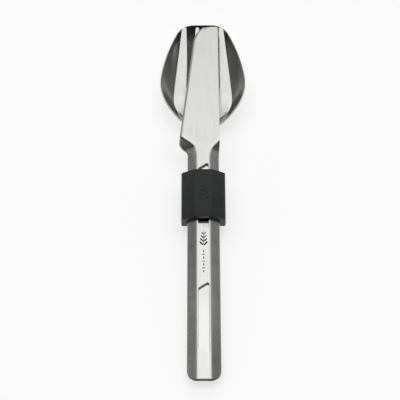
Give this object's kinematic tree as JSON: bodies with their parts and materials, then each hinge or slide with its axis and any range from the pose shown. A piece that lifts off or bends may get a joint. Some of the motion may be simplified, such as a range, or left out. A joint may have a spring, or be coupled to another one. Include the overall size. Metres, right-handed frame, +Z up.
{
  "type": "nesting picnic cutlery set",
  "caption": "Nesting picnic cutlery: spoon, fork and knife pressed from metal sheet with slotted channel handles, held in a stack by a rubber sleeve that slides off.",
  "frame": {"origin": "centre of the set's footprint, on the table it lies on", "axes": "+Y from the handles' end towards the heads, +X across with the knife's edge on the -X side, +Z up from the table"},
  "size_m": [0.0434, 0.1971, 0.0185],
  "materials": {
    "spoon_metal": "satin titanium sheet",
    "fork_metal": "satin titanium sheet",
    "knife_metal": "satin titanium sheet",
    "sleeve_rubber": "matte moulded"
  },
  "bodies": {
    "spoon": {"spoon": "spoon_metal"},
    "fork": {"fork": "fork_metal"},
    "knife": {"knife": "knife_metal"},
    "sleeve": {"sleeve": "sleeve_rubber"}
  },
  "joints": [
    {"name": "sleeve_slide", "type": "slide", "parent": "spoon", "child": "sleeve", "axis": [0, -0.9977, -0.0675], "range_m": [-0.007, 0.11]},
    {"name": "fork_draw", "type": "slide", "parent": "spoon", "child": "fork", "axis": [0, 0.9977, 0.0675], "range_m": [0, 0.11]},
    {"name": "knife_draw", "type": "slide", "parent": "fork", "child": "knife", "axis": [0, 0.9977, 0.0675], "range_m": [0, 0.11]}
  ]
}
